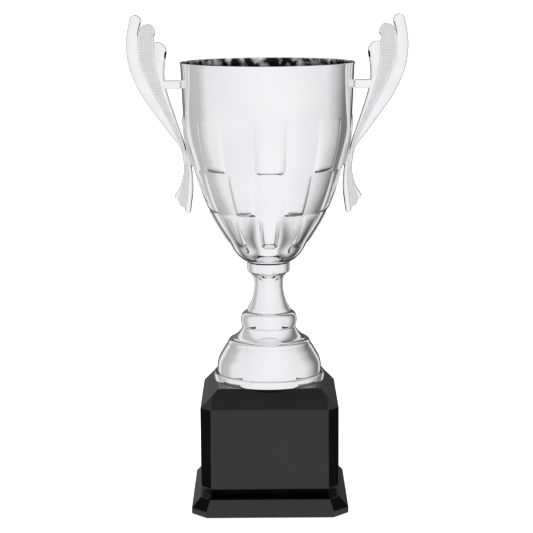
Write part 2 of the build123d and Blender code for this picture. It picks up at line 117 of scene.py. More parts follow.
def turnProfile(name, points, steps, smoothAngle=30, bevel=0.0):
    # a closed ring of (radius, height) points drawn by extruding one vertex, then spun about the upright axis
    clearSelection()
    bpy.ops.mesh.primitive_plane_add(size=mm)
    piece = bpy.context.object
    piece.name = piece.data.name = name
    bpy.ops.object.mode_set(mode="EDIT")
    bpy.ops.mesh.select_all(action="SELECT")
    bpy.ops.mesh.merge(type="CENTER")
    bpy.ops.transform.translate(value=(points[0][0], 0, points[0][1]))
    for (r0, z0), (r1, z1) in zip(points, points[1:] + points[:1]):
        bpy.ops.mesh.extrude_region_move(TRANSFORM_OT_translate={"value": (r1 - r0, 0, z1 - z0)})
    bpy.ops.mesh.select_all(action="SELECT")
    bpy.ops.mesh.remove_doubles(threshold=0.001 * mm)
    bpy.ops.mesh.spin(steps=steps, angle=2 * pi, center=(0, 0, 0), axis=(0, 0, 1))
    tidyMesh(piece)
    if bevel:
        applyModifier(piece, "BEVEL", width=bevel, segments=3, limit_method="ANGLE", angle_limit=radians(40))
    return settle(piece, smoothAngle)


# materials

def linear(hexValue):
    parts = [int(hexValue[k:k + 2], 16) / 255 for k in (1, 3, 5)]
    return [p / 12.92 if p <= 0.04045 else ((p + 0.055) / 1.055) ** 2.4 for p in parts] + [1.0]


def addNode(tree, kind, settings=None, links=None):
    node = tree.nodes.new(kind)
    for key, value in (settings or {}).items():
        if isinstance(key, str) and hasattr(node, key):
            setattr(node, key, value)
        else:
            node.inputs[key].default_value = value
    for key, source in (links or {}).items():
        tree.links.new(source, node.inputs[key])
    return node


def paintShadeInHollows(material, look):
    # each hollow of the texture is drawn greyer than the land around it, as painted shade, so that it shows at
    # this size
    tree = material.node_tree
    shader = next(node for node in tree.nodes if node.type == "BSDF_PRINCIPLED")
    plain = shader.inputs["Base Color"].links[0].from_socket
    depth = addNode(tree, "ShaderNodeAttribute", {"attribute_name": "hollow"}).outputs["Fac"]
    tone = addNode(tree, "ShaderNodeMix", {"data_type": "RGBA", 7: linear(look["hollow"])},
                   {0: depth, 6: plain})
    tree.links.new(tone.outputs[2], shader.inputs["Base Color"])


def startMaterial(name):
    material = bpy.data.materials.new(name)
    material.use_nodes = True
    tree = material.node_tree
    tree.nodes.clear()
    place = addNode(tree, "ShaderNodeTexCoord").outputs["Object"]
    return material, tree, place


def endMaterial(tree, settings, links):
    shader = addNode(tree, "ShaderNodeBsdfPrincipled", settings, links)
    addNode(tree, "ShaderNodeOutputMaterial", None, {"Surface": shader.outputs[0]})


def platedMaterial(name, look):
    # bright plating mirrors the room
    # faint lines from the die and a breath of haze keep it from looking like glass
    material, tree, place = startMaterial(name)
    stretch = addNode(tree, "ShaderNodeMapping", {"Scale": look["stretch"]}, {"Vector": place})
    lines = addNode(tree, "ShaderNodeTexNoise", {"Scale": 1 / look["lineSpacing"], "Detail": 3.0},
                    {"Vector": stretch.outputs[0]})
    cloud = addNode(tree, "ShaderNodeTexNoise", {"Scale": 1 / look["cloudSize"], "Detail": 2.0},
                    {"Vector": place})
    haze = addNode(tree, "ShaderNodeMapRange", {"To Min": look["roughness"][0], "To Max": look["roughness"][1]},
                   {"Value": cloud.outputs["Fac"]})
    low, high = look.get("patches", (0.0, 1.0))
    patches = addNode(tree, "ShaderNodeMapRange", {"From Min": low, "From Max": high},
                      {"Value": cloud.outputs["Fac"]})
    colours = {"data_type": "RGBA", 6: linear(look["dull"]), 7: linear(look["bright"])}
    tone = addNode(tree, "ShaderNodeMix", colours, {0: patches.outputs[0]})
    bump = addNode(tree, "ShaderNodeBump", {"Strength": look["bump"], "Distance": 0.02 * mm},
                   {"Height": lines.outputs["Fac"]})
    endMaterial(tree, {"Metallic": 1.0},
                {"Base Color": tone.outputs[2], "Roughness": haze.outputs[0], "Normal": bump.outputs[0]})
    return material


# nickel-plated pressed steel, polished: soft upright die lines, near white where it faces a light
nickelPlatedSteel = platedMaterial("nickel_plated_steel", {
    "stretch": (1.0, 1.0, 0.02), "lineSpacing": 1.2 * mm, "cloudSize": 30 * mm,
    "roughness": (0.05, 0.09), "dull": "#E6E6E8", "bright": "#F4F4F5", "bump": 0.10})
# inside of the bowl: darker and blotchy, painted shade of the hollow. This is a look only, since the real
# lining's finish is not known
shadePaintedLining = platedMaterial("shade_painted_lining", {
    "stretch": (1.0, 1.0, 0.3), "lineSpacing": 2.0 * mm, "cloudSize": 8 * mm,
    "roughness": (0.08, 0.20), "dull": "#1C1C1E", "bright": "#D6D6DA", "bump": 0.5,
    "patches": (0.44, 0.66)})
# chrome-plated ABS: smoother than the pressed steel, with the faint ripple of a moulding
chromePlatedAbs = platedMaterial("chrome_plated_abs", {
    "stretch": (1.0, 1.0, 1.0), "lineSpacing": 5 * mm, "cloudSize": 14 * mm,
    "roughness": (0.04, 0.07), "dull": "#E4E4E6", "bright": "#F3F3F4", "bump": 0.12})
# the same plating over a finely textured mould: duller and whiter
texturedPlatedAbs = platedMaterial("textured_plated_abs", {
    "stretch": (1.0, 1.0, 1.0), "lineSpacing": 0.7 * mm, "cloudSize": 8 * mm,
    "roughness": (0.13, 0.20), "dull": "#E9E9EA", "bright": "#F6F6F6", "bump": 0.2})
# painted shade in the hollows of the texture
paintShadeInHollows(texturedPlatedAbs, {"hollow": "#A8A8AA"})
# zinc-plated steel: bluish grey and a little dull
zincPlatedSteel = platedMaterial("zinc_plated_steel", {
    "stretch": (1.0, 1.0, 1.0), "lineSpacing": 0.8 * mm, "cloudSize": 3 * mm,
    "roughness": (0.22, 0.36), "dull": "#A9ACB0", "bright": "#C6C8CA", "bump": 0.3})


def dullMaterial(name, look):
    # a plain body with grain at one real size and wear or dust at another
    material, tree, place = startMaterial(name)
    stretch = addNode(tree, "ShaderNodeMapping", {"Scale": look["stretch"]}, {"Vector": place})
    grain = addNode(tree, "ShaderNodeTexNoise", {"Scale": 1 / look["grain"], "Detail": 6.0, "Roughness": 0.6},
                    {"Vector": stretch.outputs[0]})
    cloud = addNode(tree, "ShaderNodeTexNoise", {"Scale": 1 / look["cloudSize"], "Detail": 3.0},
                    {"Vector": place})
    both = addNode(tree, "ShaderNodeMath", {"operation": "MULTIPLY"},
                   {0: grain.outputs["Fac"], 1: cloud.outputs["Fac"]})
    spread = addNode(tree, "ShaderNodeMapRange", {"From Min": 0.12, "From Max": 0.4},
                     {"Value": both.outputs[0]})
    colours = {"data_type": "RGBA", 6: linear(look["dark"]), 7: linear(look["light"])}
    tone = addNode(tree, "ShaderNodeMix", colours, {0: spread.outputs[0]})
    haze = addNode(tree, "ShaderNodeMapRange", {"To Min": look["roughness"][0], "To Max": look["roughness"][1]},
                   {"Value": cloud.outputs["Fac"]})
    bump = addNode(tree, "ShaderNodeBump", {"Strength": look["bump"], "Distance": look["bumpDepth"]},
                   {"Height": grain.outputs["Fac"]})
    settings = {"IOR": look["ior"], "Metallic": look.get("metallic", 0.0),
                "Sheen Weight": look.get("sheen", 0.0)}
    endMaterial(tree, settings,
                {"Base Color": tone.outputs[2], "Roughness": haze.outputs[0], "Normal": bump.outputs[0]})
    return material


# moulded polystyrene, gloss black: a clean mirror of the room in near black, with a very slight sink and ripple
blackPolystyrene = dullMaterial("gloss_black_polystyrene", {
    "stretch": (1, 1, 1), "grain": 9 * mm, "cloudSize": 40 * mm, "dark": "#050506", "light": "#0A0A0B",
    "roughness": (0.05, 0.09), "ior": 1.46, "bump": 0.05, "bumpDepth": 0.05 * mm})
# hardboard: pressed brown fibres
hardboard = dullMaterial("hardboard", {
    "stretch": (1, 1, 1), "grain": 1.2 * mm, "cloudSize": 12 * mm, "dark": "#5B4430", "light": "#7C6147",
    "roughness": (0.7, 0.85), "ior": 1.45, "bump": 0.4, "bumpDepth": 0.1 * mm})
# pressed wool felt: short matted fibres that catch light at a low angle
pressedFelt = dullMaterial("pressed_felt", {
    "stretch": (1, 1, 1), "grain": 0.9 * mm, "cloudSize": 9 * mm, "dark": "#101113", "light": "#26282B",
    "roughness": (0.9, 1.0), "ior": 1.5, "bump": 0.7, "bumpDepth": 0.25 * mm, "sheen": 0.5})
# grey cast iron, as cast
castIron = dullMaterial("grey_cast_iron", {
    "stretch": (1, 1, 1), "grain": 1.0 * mm, "cloudSize": 7 * mm, "dark": "#3A3A3B", "light": "#5C5C5D",
    "roughness": (0.55, 0.75), "ior": 1.5, "metallic": 1.0, "bump": 0.6, "bumpDepth": 0.2 * mm})
# nitrile rubber sheet
nitrileRubber = dullMaterial("nitrile_rubber", {
    "stretch": (1, 1, 1), "grain": 0.8 * mm, "cloudSize": 5 * mm, "dark": "#111112", "light": "#1D1D1E",
    "roughness": (0.55, 0.7), "ior": 1.52, "bump": 0.3, "bumpDepth": 0.05 * mm})


def dress(piece, material, nodes=()):
    piece.data.materials.clear()
    piece.data.materials.append(material)
    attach(piece, "root")
    if nodes:
        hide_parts(*nodes)


print("materials ready")

# bowl

bowlSpec = {
    # share of the rim's radius at each share of the height, foot to rim
    "shape": [(0.0, 0.249), (0.026, 0.334), (0.088, 0.437), (0.162, 0.546), (0.251, 0.663), (0.365, 0.777),
              (0.495, 0.870), (0.627, 0.949), (0.762, 0.977), (1.0, 1.0)],
    "rimRadius": 70.0 * mm, "wall": 0.8 * mm, "seatRadius": 16.0 * mm, "boreRadius": 4.4 * mm,
    "hemHeight": 2.2 * mm, "hemThick": 0.3 * mm,
    "columns": 16, "across": 18, "turn": 1.6, "sideStep": 0.037,
    "rows": [16.5 * mm, 43.7 * mm, 78.5 * mm, 121.0 * mm],
    "riseFoot": [1.4 * mm, 1.6 * mm, 2.0 * mm], "riseTop": 0.8 * mm,
    "shoulder": 4.4 * mm, "corner": 3.0 * mm, "ringsPerRow": 24,
}
bowlLow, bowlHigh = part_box("bowl")
bowlHeight = bowlHigh.z - bowlLow.z
bowlRadius = splineOf([(z * bowlHeight, r * bowlSpec["rimRadius"]) for z, r in bowlSpec["shape"]])


def crowd(share):
    # even steps pushed towards both ends of a row or column, where the panel's edges are
    part = abs(2 * share - 1)
    return 0.5 + 0.5 * (1 - (1 - part) ** 1.5) * (1 if share > 0.5 else -1)


def panelRise(angle, up, inset):
    # how far the raised panels stand out of the wall at an angle and a height above the foot
    rows = bowlSpec["rows"]
    for row, (low, high) in enumerate(zip(rows, rows[1:])):
        if low < up < high:
            break
    else:
        return 0.0
    pitch = 2 * pi / bowlSpec["columns"]
    turned = (angle + pi / 2 - radians(bowlSpec["turn"])) / pitch
    column = round(turned)
    if (column + row) % 2:
        return 0.0
    radius = bowlRadius(up)
    # the panel's side lies on the last line of vertices but one
    edgeStep = bowlSpec["sideStep"] * pitch / 2
    halfWide = radius * (pitch / 2 - edgeStep) - inset
    halfHigh = (high - low) / 2 - inset
    corner = bowlSpec["corner"]
    x = abs((turned - column) * pitch * radius)
    y = abs(up - (low + high) / 2)
    cornerX, cornerY = x - halfWide + corner, y - halfHigh + corner
    if cornerX > 0 and cornerY > 0:
        inside = corner - hypot(cornerX, cornerY)
    else:
        inside = min(halfWide - x, halfHigh - y)
    if inside <= 0:
        return 0.0
    share = (up - low) / (high - low)
    rise = bowlSpec["riseFoot"][row] + share * (bowlSpec["riseTop"] - bowlSpec["riseFoot"][row])
    part = min(inside / bowlSpec["shoulder"], 1)
    return rise * (1 - (1 - part) ** 2)


def bowlSection():
    # the wall's outer line from the bore to the rim, over the hem, and back down inside
    spec, rows = bowlSpec, bowlSpec["rows"]
    heights = [rows[0] * k / 9 for k in range(1, 9)]
    for low, high in zip(rows, rows[1:]):
        heights += [low + (high - low) * crowd(k / spec["ringsPerRow"]) for k in range(spec["ringsPerRow"])]
    hemFoot = bowlHeight - spec["hemHeight"]
    heights += [rows[-1] + (hemFoot - rows[-1]) * k / 12 for k in range(13)]
    seat = spec["seatRadius"]
    outer = [(spec["boreRadius"], 0), (seat * 0.7, 0), (seat, 0)]
    outer += [(bowlRadius(z), z) for z in heights]
    inner = []
    for radius, z in outer[3:]:
        lean = atan2(bowlRadius(z + mm) - bowlRadius(z - mm), 2 * mm)
        inner.append((radius - spec["wall"] * cos(lean), z + spec["wall"] * sin(lean)))
    wall = spec["wall"]
    inner = [(spec["boreRadius"], wall), (seat * 0.7, wall), (seat * 0.96, wall)] + inner
    thick = spec["hemThick"]
    top, rim = bowlHeight, spec["rimRadius"]
    mid, round_ = rim + thick / 2 - spec["wall"] / 2, (spec["wall"] + thick) / 2
    hem = [(rim + thick * 0.7, hemFoot + 0.1 * mm), (rim + thick, hemFoot + 0.5 * mm)]
    hem += [(mid + round_ * cos(pi * k / 8), top - round_ + round_ * sin(pi * k / 8)) for k in range(9)]
    return outer + hem + inner[::-1]


def makeBowl():
    spec = bowlSpec
    columns, across = spec["columns"], spec["across"]
    bowl = turnProfile("bowl_shell", bowlSection(), columns * across)
    pitch = 2 * pi / columns
    start = -pi / 2 + radians(spec["turn"])
    for vertex in bowl.data.vertices:
        x, y, z = vertex.co
        radius, angle = hypot(x, y), atan2(y, x)
        # the spin's even steps start at angle zero; they are turned to the panels and crowded to their edges
        step = round(angle / (2 * pi / (columns * across))) + columns * across
        column, part = divmod(step, across)
        angle = start + (column + crowd(part / across) - 0.5) * pitch
        lining = radius < bowlRadius(z) - 0.3 * mm
        radius += panelRise((angle + pi) % (2 * pi) - pi, z, spec["wall"] if lining else 0)
        vertex.co = (radius * cos(angle), radius * sin(angle), z + bowlLow.z)
    bowl.data.update()
    settle(bowl, 24)
    dress(bowl, nickelPlatedSteel, ["bowl"])
    # the inner faces take the lining, whose darker colour is painted shade
    bowl.data.materials.append(shadePaintedLining)
    for face in bowl.data.polygons:
        facesAxis = face.normal.x * face.center.x + face.normal.y * face.center.y < 0
        aboveSeat = face.center.z > bowlLow.z + spec["wall"] / 2
        seatFace = hypot(face.center.x, face.center.y) < spec["seatRadius"]
        if aboveSeat and (facesAxis or seatFace) and face.center.z < bowlHigh.z - spec["wall"]:
            face.material_index = 1
    return bowl


bowlPiece = makeBowl()
print("bowl pressed,", len(bowlPiece.data.polygons), "faces")

# column: foot ring, foot dome, knop, stem and collar

columnSpec = {"steps": 160, "bevel": 0.25 * mm, "bore": 8.0 * mm}


def columnPiece(name, node, outline, bore):
    low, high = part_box(node)
    points = [(radius * mm, low.z + up * mm) for radius, up in outline]
    points += [(bore, points[-1][1]), (bore, points[0][1])]
    piece = turnProfile(name, points, columnSpec["steps"], 28, columnSpec["bevel"])
    dress(piece, chromePlatedAbs, [node])
    return piece


def makeColumn():
    ring = [(45.8, 0), (45.8, 4.6), (45.5, 5.3), (45.0, 5.6), (44.3, 5.5), (43.8, 5.0), (43.5, 4.2),
            (43.2, 3.4)]
    columnPiece("foot_ring_plated", "foot_ring", ring, 31 * mm)
    # the dome starts in the ring's rebate and swells to its shoulder
    # it steps in over a bead and flares up to the neck
    dome = [(43.0, 0), (43.0, 4.0)]
    dome += smoothThrough([(43.0, 5.0), (42.9, 7.4), (42.7, 9.9), (42.1, 12.5), (41.3, 14.7), (40.1, 17.1),
                           (38.6, 19.6), (36.6, 23.1), (34.9, 25.7)], 4)
    dome += [(34.4, 26.6), (33.9, 26.8)]
    dome += smoothThrough([(33.9, 27.0), (33.7, 28.4), (32.6, 29.8), (31.0, 30.7)], 4)
    dome += [(30.4, 30.6), (30.0, 31.0)]
    dome += smoothThrough([(29.8, 31.3), (27.4, 32.9), (25.2, 34.9), (23.5, 36.9), (22.3, 38.8),
                           (21.9, 40.2)], 4)
    columnPiece("foot_dome_plated", "foot_dome", dome, 12 * mm)
    knopLow = 3.6
    knop = smoothThrough([(21.9, knopLow), (22.6, knopLow + 2.0), (23.0, knopLow + 4.4), (23.0, knopLow + 7.0),
                          (22.7, knopLow + 9.0), (21.9, knopLow + 10.8), (20.3, knopLow + 12.3),
                          (18.2, knopLow + 13.4)], 5)
    columnPiece("knop_plated", "knop", knop, columnSpec["bore"])
    stem = smoothThrough([(18.0, 0), (17.3, 2.2), (15.6, 5.2), (13.9, 9.2), (12.6, 14.4), (11.9, 19.0),
                          (11.8, 22.4), (12.2, 25.8), (13.1, 28.4), (14.6, 31.0)], 6)
    columnPiece("stem_plated", "stem", stem, columnSpec["bore"])
    collar = [(14.9, 0)] + smoothThrough([(15.2, 0.05), (16.7, 1.1), (17.4, 2.1), (17.6, 3.2)], 4)
    collar += [(17.6, 8.8), (17.3, 9.15)]
    columnPiece("collar_plated", "collar", collar, 4.4 * mm)


makeColumn()
print("column turned")

# handles: three feathers up, three down, an arm and a pad

handleSpec = {
    "half": 2.9 * mm, "middleHalf": 2.3 * mm, "armHeight": 6.8 * mm, "armHalf": 2.6 * mm, "padHalf": 2.0 * mm,
    "armUp": 61.3 * mm, "armFrom": 6.2 * mm, "armTo": 20.4 * mm, "padFrom": -0.3 * mm, "padTo": 4.3 * mm,
    "padDown": 2.5 * mm, "padUp": 5.0 * mm, "blockEdge": 0.8 * mm,
    "waistIn": 49.7 * mm, "waistDown": 117.2 * mm,       # from the outer and top ends of the handle's box
    "dimplePitch": 1.5 * mm, "dimpleDepth": 0.24 * mm, "rowShare": 0.87, "crown": 0.42, "sink": 0.45,
    # in millimetres, as the outlines below are
    "overlap": 9.0, "rounding": 1.3, "dimpleMargin": 1.2,
    # faces across and along a feather, more of them where it is dimpled
    "faces": {"upper": (20, 110), "lower": (20, 44), "upper_middle": (34, 330), "lower_middle": (34, 110)},
    # (outwards, upwards) from the waist in millimetres: outer edge, tip, inner edge, both edges waist to tip
    "feathers": {
        "upper_outer": ([(5.0, -8.0), (5.2, 0.0), (7.6, 10.5), (20.2, 27.5), (37.7, 52.4), (47.2, 74.0),
                         (49.7, 93.9), (46.9, 112.4)], (42.9, 116.9),
                        [(2.8, -8.0), (3.0, 0.0), (6.0, 13.0), (13.0, 28.7), (27.4, 55.8), (37.6, 78.0),
                         (39.4, 98.0), (37.4, 109.4)]),
        "upper_middle": ([(3.6, -8.0), (3.6, 0.0), (7.0, 13.0), (14.0, 28.7), (28.0, 55.8), (38.2, 78.0),
                          (39.9, 98.0), (37.6, 107.0)], (33.4, 109.6),
                         [(1.2, -8.0), (1.6, 0.0), (4.6, 15.0), (10.8, 29.8), (20.7, 54.7), (26.6, 78.3),
                          (27.0, 99.0)]),
        "upper_inner": ([(2.4, -8.0), (2.6, 0.0), (5.6, 15.0), (11.8, 29.8), (21.5, 54.7), (27.3, 78.3),
                         (27.4, 95.0)], (22.4, 95.2),
                        [(0.2, -8.0), (0.6, 0.0), (4.2, 16.0), (9.6, 32.1), (17.3, 56.9), (19.0, 72.0),
                         (17.0, 86.6)]),
        "lower_outer": ([(6.8, 9.0), (5.4, 2.0), (4.8, -4.0), (5.2, -11.2), (7.9, -20.4), (12.5, -28.2)],
                        (11.9, -31.0),
                        [(3.4, 9.0), (2.4, 2.0), (2.6, -6.0), (4.6, -18.0), (8.9, -32.0)]),
        "lower_middle": ([(4.4, 9.0), (3.4, 2.0), (3.6, -6.0), (5.2, -18.0), (9.4, -32.0)], (7.6, -37.2),
                         [(1.4, 9.0), (0.8, 2.0), (0.8, -6.0), (1.0, -18.0), (3.6, -38.2)]),
        "lower_inner": ([(2.8, 9.0), (1.8, 2.0), (1.4, -6.0), (1.6, -18.0), (3.9, -38.6)], (1.7, -43.0),
                        [(0.6, 9.0), (-1.0, 2.0), (-2.6, -10.0), (-3.0, -24.0), (-1.0, -40.8)]),
    },
}
handleLow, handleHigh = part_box("handle_right")
waistX = handleHigh.x - handleSpec["waistIn"]
waistZ = handleHigh.z - handleSpec["waistDown"]


def evenly(points, count):
    # count places spread by equal length along a smooth curve through points
    fine = np.array(smoothThrough([(u, v) for u, v in points], 12))
    run = np.concatenate([[0], np.cumsum(np.hypot(*np.diff(fine, axis=0).T))])
    want = np.linspace(0, run[-1], count)
    return np.stack([np.interp(want, run, fine[:, 0]), np.interp(want, run, fine[:, 1])], 1)


def tipArc(start, middle, end, count=7):
    # points from start towards middle on the circle through all three, for a rounded tip
    (ax, ay), (bx, by), (cx, cy) = start, middle, end
    d = 2 * (ax * (by - cy) + bx * (cy - ay) + cx * (ay - by))
    sa, sb, sc = ax * ax + ay * ay, bx * bx + by * by, cx * cx + cy * cy
    ux = (sa * (by - cy) + sb * (cy - ay) + sc * (ay - by)) / d
    uy = (sa * (cx - bx) + sb * (ax - cx) + sc * (bx - ax)) / d
    first, last = atan2(ay - uy, ax - ux), atan2(by - uy, bx - ux)
    sweep = (last - first + pi) % (2 * pi) - pi
    radius = hypot(ax - ux, ay - uy)
    return [(ux + radius * cos(first + sweep * k / count), uy + radius * sin(first + sweep * k / count))
            for k in range(1, count + 1)]


def makeFeather(name, outline, half, across, along, dimpled):
    outerEdge, tip, innerEdge = outline
    outer = evenly(outerEdge + tipArc(outerEdge[-1], tip, innerEdge[-1]), along + 1)
    inner = evenly(innerEdge + tipArc(innerEdge[-1], tip, outerEdge[-1]), along + 1)
    run = np.concatenate([[0], np.cumsum(np.hypot(*np.diff(outer, axis=0).T))])
    clearSelection()
    bpy.ops.mesh.primitive_grid_add(x_subdivisions=across, y_subdivisions=along, size=2)
    piece = bpy.context.object
    piece.name = piece.data.name = name
    pitch, depth = handleSpec["dimplePitch"] / mm, handleSpec["dimpleDepth"]
    rounding, rowShare = handleSpec["rounding"], handleSpec["rowShare"]
    hollow = piece.data.attributes.new("hollow", "FLOAT", "POINT")
    for vertex in piece.data.vertices:
        share = 0.5 - 0.5 * cos(pi * (vertex.co.x + 1) / 2)
        k = round((vertex.co.y + 1) / 2 * along)
        place = outer[k] + (inner[k] - outer[k]) * share
        wide = hypot(*(inner[k] - outer[k]))
        edge = min(share, 1 - share) * wide                # millimetres in from the nearer side
        ends = run[-1] - run[k]                             # only the tip is rounded off
        # the waist end dips under the other feathers
        sunk = 1 - handleSpec["sink"] * max(0, 1 - run[k] / handleSpec["overlap"])
        sideShare, endShare = min(edge / rounding, 1), min(ends / rounding, 1)
        lift = sqrt(max(0, 1 - (1 - sideShare) ** 2)) * sqrt(max(0, 1 - (1 - endShare) ** 2))
        crown = 1 - handleSpec["crown"] * (2 * share - 1) ** 2
        y = half * lift * crown * sunk
        if dimpled and edge > handleSpec["dimpleMargin"]:
            row = round(place[1] / (pitch * rowShare))
            shift = 0.5 * (row % 2)
            near = (round(place[0] / pitch - shift) + shift) * pitch
            away = hypot(place[0] - near, place[1] - row * pitch * rowShare)
            well = max(0, 1 - (away / (0.5 * pitch)) ** 2)
            y -= depth * well
            hollow.data[vertex.index].value = well
        vertex.co = (waistX + place[0] * mm, -y, waistZ + place[1] * mm)
    applyModifier(piece, "MIRROR", use_axis=(False, True, False), use_clip=False, merge_threshold=0.01 * mm)
    makeActive(piece)
    bpy.ops.object.mode_set(mode="EDIT")
    bpy.ops.mesh.select_all(action="SELECT")
    bpy.ops.mesh.fill_holes(sides=0)
    bpy.ops.object.mode_set(mode="OBJECT")
    tidyMesh(piece, 0.004 * mm)
    return piece


def roundedBlock(name, low, high, bevel):
    # a cube at its place with its edges rounded
    clearSelection()
    size = [b - a for a, b in zip(low, high)]
    bpy.ops.mesh.primitive_cube_add(size=1, location=[(a + b) / 2 for a, b in zip(low, high)])
    piece = bpy.context.object
    piece.name = piece.data.name = name
    bpy.ops.object.mode_set(mode="EDIT")
    bpy.ops.transform.resize(value=size)
    bpy.ops.object.mode_set(mode="OBJECT")
    bpy.ops.object.transform_apply(location=True)
    applyModifier(piece, "BEVEL", width=bevel, segments=4)
    return piece


def makeHandles():
    spec = handleSpec
    parts = []
    for name, outline in spec["feathers"].items():
        middle = "middle" in name
        across, along = spec["faces"].get(name) or spec["faces"][name.split("_")[0]]
        half = spec["middleHalf"] if middle else spec["half"]
        parts.append(makeFeather(name, outline, half, across, along, middle))
    armZ, edge = waistZ + spec["armUp"], spec["blockEdge"]
    armFoot, armTop = armZ - spec["armHeight"] / 2, armZ + spec["armHeight"] / 2
    arm = roundedBlock("arm", (waistX + spec["armFrom"], -spec["armHalf"], armFoot),
                       (waistX + spec["armTo"], spec["armHalf"], armTop), edge)
    pad = roundedBlock("pad", (waistX + spec["padFrom"], -spec["padHalf"], waistZ - spec["padDown"]),
                       (waistX + spec["padTo"], spec["padHalf"], waistZ + spec["padUp"]), edge)
    smooth, rough = chromePlatedAbs, texturedPlatedAbs
    for part in parts + [arm, pad]:
        part.data.materials.append(rough if "middle" in part.name else smooth)
    clearSelection()
    for part in parts + [arm, pad]:
        part.select_set(True)
    bpy.context.view_layer.objects.active = parts[0]
    bpy.ops.object.join()
    right = bpy.context.object
    right.name = right.data.name = "handle_right_feathers"
    settle(right, 35)
    left = right.copy()
    left.data = right.data.copy()
    left.name = left.data.name = "handle_left_feathers"
    bpy.context.collection.objects.link(left)
    left.data.transform(Matrix.Rotation(pi, 4, "Z"))
    for side, piece in (("right", right), ("left", left)):
        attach(piece, "root")
        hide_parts("handle_" + side)


makeHandles()
print("handles made")

# base: block and plinth

baseSpec = {"blockCorner": 8.6 * mm, "blockBevel": 5.6 * mm, "plinthCorner": 12.5 * mm,
            "plinthBevelIn": 7.2 * mm, "plinthBevelDown": 7.9 * mm, "edge": 0.35 * mm}


def cutCorners(piece, corner):
    # cuts the upright corners of a box off at 45 degrees
    makeActive(piece)
    bpy.ops.object.mode_set(mode="EDIT")
    bpy.ops.mesh.select_all(action="DESELECT")
    bpy.ops.object.mode_set(mode="OBJECT")
    for edge in piece.data.edges:
        a, b = (piece.data.vertices[k].co for k in edge.vertices)
        edge.select = abs(a.z - b.z) > abs(a.x - b.x) + abs(a.y - b.y)
    bpy.ops.object.mode_set(mode="EDIT")
    bpy.ops.mesh.select_mode(type="EDGE")
    bpy.ops.mesh.bevel(offset=corner, offset_type="OFFSET", segments=1)
    bpy.ops.mesh.select_all(action="DESELECT")
    bpy.ops.object.mode_set(mode="OBJECT")


def octagonBox(name, node, corner, bevelIn, bevelDown, floorZ):
    # a cube whose upright edges are cut off, then a sloped shoulder made by insetting its top
    low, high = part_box(node)
    topZ = high.z if node == "base_block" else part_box("base_block")[0].z
    half = (high.x - low.x) / 2
    clearSelection()
    bpy.ops.mesh.primitive_cube_add(size=1, location=(0, 0, 0))
    piece = bpy.context.object
    piece.name = piece.data.name = name
    bpy.ops.object.mode_set(mode="EDIT")
    bpy.ops.transform.resize(value=(2 * half, 2 * half, topZ - bevelDown - floorZ))
    bpy.ops.transform.translate(value=(0, 0, (topZ - bevelDown + floorZ) / 2))
    bpy.ops.object.mode_set(mode="OBJECT")
    cutCorners(piece, corner)
    for face in piece.data.polygons:
        face.select = face.normal.z > 0.9
    bpy.ops.object.mode_set(mode="EDIT")
    bpy.ops.mesh.select_mode(type="FACE")
    bpy.ops.mesh.inset(thickness=bevelIn, depth=bevelDown)
    bpy.ops.object.mode_set(mode="OBJECT")
    return piece


def makeBase():
    spec = baseSpec
    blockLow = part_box("base_block")[0].z
    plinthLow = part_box("base_plinth")[0].z
    block = octagonBox("block_moulding", "base_block", spec["blockCorner"], spec["blockBevel"],
                       spec["blockBevel"], blockLow)
    plinth = octagonBox("plinth_moulding", "base_plinth", spec["plinthCorner"], spec["plinthBevelIn"],
                        spec["plinthBevelDown"], plinthLow)
    for piece, node in ((block, "base_block"), (plinth, "base_plinth")):
        applyModifier(piece, "BEVEL", width=spec["edge"], segments=3, limit_method="ANGLE",
                      angle_limit=radians(20))
        settle(piece, 5)
        dress(piece, blackPolystyrene, [node])


makeBase()
print("base moulded")

# felt pad: an eight-sided sheet with a soft, slightly fuzzy cut edge

feltSpec = {"corner": 10.57 * mm, "edge": 0.3 * mm, "cuts": 46, "lay": 0.05 * mm}


def makeFelt():
    low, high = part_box("felt_pad")
    half = (high.x - low.x) / 2
    clearSelection()
    bpy.ops.mesh.primitive_cube_add(size=1)
    felt = bpy.context.object
    felt.name = felt.data.name = "felt_sheet"
    bpy.ops.object.mode_set(mode="EDIT")
    bpy.ops.transform.resize(value=(2 * half, 2 * half, high.z - low.z))
    bpy.ops.transform.translate(value=(0, 0, (high.z + low.z) / 2))
    bpy.ops.object.mode_set(mode="OBJECT")
    cutCorners(felt, feltSpec["corner"])
    applyModifier(felt, "BEVEL", width=feltSpec["edge"], segments=3, limit_method="ANGLE",
                  angle_limit=radians(50))
    # a few cuts across, so that the underside can lie a hair uneven, as felt does
    for axis in ((1, 0, 0), (0, 1, 0)):
        for k in range(1, feltSpec["cuts"]):
            place = half * (2 * k / feltSpec["cuts"] - 1)
            bpy.ops.object.mode_set(mode="EDIT")
            bpy.ops.mesh.select_all(action="SELECT")
            bpy.ops.mesh.bisect(plane_co=[place * a for a in axis], plane_no=axis)
            bpy.ops.object.mode_set(mode="OBJECT")
    for vertex in felt.data.vertices:
        x, y, z = vertex.co
        wave = 0.5 + 0.25 * (sin(x / (7 * mm)) + sin(y / (5 * mm) + 2 * x / (19 * mm)))
        if z < low.z + feltSpec["lay"] and hypot(x, y) < half * 0.9:
            vertex.co.z = z + feltSpec["lay"] * wave
    felt.data.update()
    settle(felt, 40)
    dress(felt, pressedFelt, ["felt_pad"])


makeFelt()
print("felt laid")

# the small parts keep their own shapes and only get a material
for material, nodeNames in (
        (hardboard, ["base_board"]), (castIron, ["ballast"]), (nitrileRubber, ["bowl_seal"]),
        (zincPlatedSteel, ["plinth_screws", "lower_washer", "lower_nut", "tie_rod", "upper_washer", "upper_nut",
                           "handle_screws", "handle_washers"])):
    for nodeName in nodeNames:
        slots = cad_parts[nodeName].data.materials
        slots.clear()
        slots.append(material)
print("small parts dressed")

# studio: a pale floor, a soft room and a camera

